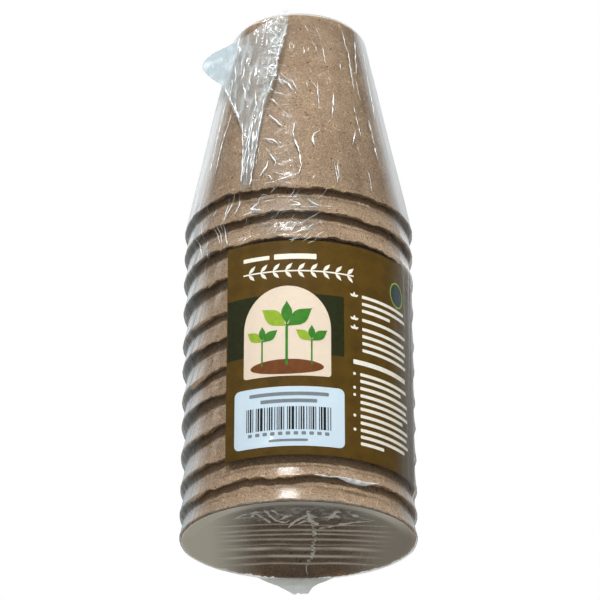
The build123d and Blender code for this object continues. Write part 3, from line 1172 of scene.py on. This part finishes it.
def label_sheet():
    """The card: a thin bent sheet with the printed ground."""
    bm = bmesh.new()
    bm.loops.layers.uv.new("UVMap")
    verts = bmesh.ops.create_grid(bm, x_segments=90, y_segments=30, size=0.5, calc_uvs=True)["verts"]
    bmesh.ops.scale(bm, vec=(CARD_WIDTH, CARD_HEIGHT, 1), verts=verts)
    printed(bm, verts, GROUND, 0, (CARD_WIDTH / 2, CARD_HEIGHT / 2))
    bent(bm, CARD_FACE, CARD_LEFT, CARD_LOW)
    thickened(bm, CARD_THICKNESS)
    finished("label_sheet", bm, LABEL_INKS[:1], "printed_card", "label_card")


label_sheet()
label_print()

# Stripe and gap widths, repeated along the code between its ends
STRIPES = (0.3, 0.35, 0.6, 0.3, 0.3, 0.6, 0.9, 0.35, 0.3, 0.5, 0.5, 0.3)
CODE_LEFT = 4.6
CODE_RIGHT = 33.2


def on_sticker(name, bm, thickness=0):
    """Bends flat work to the sticker's face, and finishes it."""
    sliced(bm, ACROSS, PRINT_STEP)
    bent(bm, STICKER_FACE, STICKER_LEFT, STICKER_LOW)
    if thickness:
        thickened(bm, thickness)
    finished(name, bm, STICKER_INKS, "sticker_paper", "barcode_sticker")


def sticker_sheet():
    """The sticker's paper, with round corners."""
    bm = bmesh.new()
    bar(bm, STOCK, 0, 0, 0, STICKER_WIDTH, STICKER_HEIGHT, STICKER_ROUND)
    on_sticker("sticker_sheet", bm, STICKER_THICKNESS)


def sticker_print():
    """The sticker's print: grey rows, and black stripes that encode nothing."""
    bm = bmesh.new()
    bar(bm, GREY, 1, 5.6, 17.9, 27, 1.3, 0.3)
    bar(bm, GREY, 1, 9.6, 15.4, 19, 1.3, 0.3)
    left = CODE_LEFT
    count = 0
    while left < CODE_RIGHT:
        stripe = STRIPES[count % len(STRIPES)]
        gap = STRIPES[(count * 5 + 3) % len(STRIPES)]
        bar(bm, BLACK, 1, left, 5.8, stripe, 8.2)
        left += stripe + gap
        count += 1
    for count in range(11):
        bar(bm, GREY, 1, 5.2 + 2.6 * count, 3.9, 1.5, 1.2, 0.3)
    bar(bm, GREY, 1, 12.5, 1.6, 13, 0.9, 0.3)
    on_sticker("sticker_print", bm)


sticker_sheet()
sticker_print()


# Camera, floor, world and lights, in metres

FLOOR_PLACE = (0, 0, -0.0002)
FLOOR_FADE = (0.25, 0.6)
LAMP_AIM = Vector((0, 0, 0.1))
LAMP_DISTANCE = 1.2

camera = linked("camera", bpy.data.cameras.new("camera"))
camera.data.lens = 153.9
camera.data.clip_end = 20
camera.location = (0.0005, -0.8234, -0.2898)
camera.rotation_euler = (math.radians(114.8), 0, 0)
bpy.context.scene.camera = camera


def pale_floor():
    """A pale matt floor that takes the pack's shadow, is open from below and fades out far off."""
    material, tree = blank("pale floor, open from below and faded out far off")
    under = add(tree, "NewGeometry").outputs["Backfacing"]
    place = add(tree, "TexCoord").outputs["Object"]
    away = add(tree, "VectorMath", {0: place}, operation="LENGTH").outputs["Value"]
    far = mapped(tree, away, *FLOOR_FADE, interpolation_type="SMOOTHSTEP")
    gone = maths(tree, "MAXIMUM", under, far)
    matt = add(tree, "BsdfDiffuse", {"Color": colour("#A6A6A4")})
    one_way = add(tree, "MixShader", {0: gone, 1: matt, 2: add(tree, "BsdfTransparent")})
    add(tree, "OutputMaterial", {"Surface": one_way})
    return material


floor_bm = bmesh.new()
bmesh.ops.create_grid(floor_bm, x_segments=1, y_segments=1, size=4, matrix=Matrix.Translation(FLOOR_PLACE))
floor_mesh = bpy.data.meshes.new("floor")
floor_bm.to_mesh(floor_mesh)
floor_bm.free()
floor_mesh.materials.append(pale_floor())
floor = linked("floor", floor_mesh)
for rays in ("shadow", "diffuse", "glossy", "transmission"):
    setattr(floor, "visible_" + rays, False)


def studio():
    """A white studio: soft light, warmer from below, that the film mirrors brightest high at the back."""
    world = bpy.data.worlds.new("studio")
    world.use_nodes = True
    tree = world.node_tree
    tree.nodes.clear()
    path = add(tree, "LightPath").outputs
    aim = add(tree, "SeparateXYZ", {0: add(tree, "TexCoord").outputs["Generated"]}).outputs
    ambient = mapped(tree, aim["Z"], -0.5, 0.8, 0.24, 0.4)
    below = mapped(tree, aim["Z"], -0.7, -0.4, 0.5, 0)
    ambient = maths(tree, "ADD", ambient, below)
    mirrored = mapped(tree, aim["Y"], 0.2, 0.75, 0.06, 1)
    lower = mapped(tree, aim["Z"], -0.3, 0.05, 0.12, 1)
    upper = mapped(tree, aim["Z"], 0.36, 0.54, 0.38, 1.5)
    right_dark = mapped(tree, aim["X"], 0.1, 0.6, 1, 0.4)
    for factor in (lower, upper, right_dark):
        mirrored = maths(tree, "MULTIPLY", mirrored, factor)
    level = add(tree, "Mix", {0: path["Is Glossy Ray"], 2: ambient, 3: mirrored})
    seen = maths(tree, "MAXIMUM", path["Is Camera Ray"], path["Is Transmission Ray"])
    level = add(tree, "Mix", {0: seen, 2: level, 3: 1})
    warmth = mixed(tree, mapped(tree, aim["Z"], -0.7, 0.25), (1, 0.87, 0.68, 1), WHITE)
    plain = maths(tree, "MAXIMUM", seen, path["Is Glossy Ray"])
    sky = add(tree, "Background", {"Color": mixed(tree, plain, warmth, WHITE), "Strength": level})
    add(tree, "OutputWorld", {"Surface": sky})
    return world


bpy.context.scene.world = studio()


def panel_light(name, azimuth, elevation, width, height, power, mirrored=False):
    """A soft oval lamp that faces the middle of the pack, either to light it or to be mirrored in it."""
    lamp = bpy.data.lights.new(name, "AREA")
    lamp.shape = "ELLIPSE"
    lamp.size = width
    lamp.size_y = height
    lamp.energy = power
    rise = math.radians(elevation)
    away = round_stack(math.cos(rise), azimuth, math.sin(rise))
    made = linked(name, lamp)
    made.location = LAMP_AIM + away * LAMP_DISTANCE
    made.rotation_euler = away.to_track_quat("Z", "Y").to_euler()
    made.visible_camera = False
    made.visible_diffuse = not mirrored
    made.visible_glossy = mirrored


panel_light("key", -3, 57, 0.3, 0.17, 25.5)
panel_light("left fill", -64, 62, 0.3, 0.3, 15)
panel_light("right fill", 64, 58, 0.3, 0.3, 13)
panel_light("back", 165, 42, 0.4, 0.3, 9)
panel_light("glint", -11, 41, 0.36, 0.02, 1.8, mirrored=True)
panel_light("corner glint", -80, 58, 0.1, 0.1, 1.6, mirrored=True)

bpy.context.scene.view_settings.view_transform = "Standard"
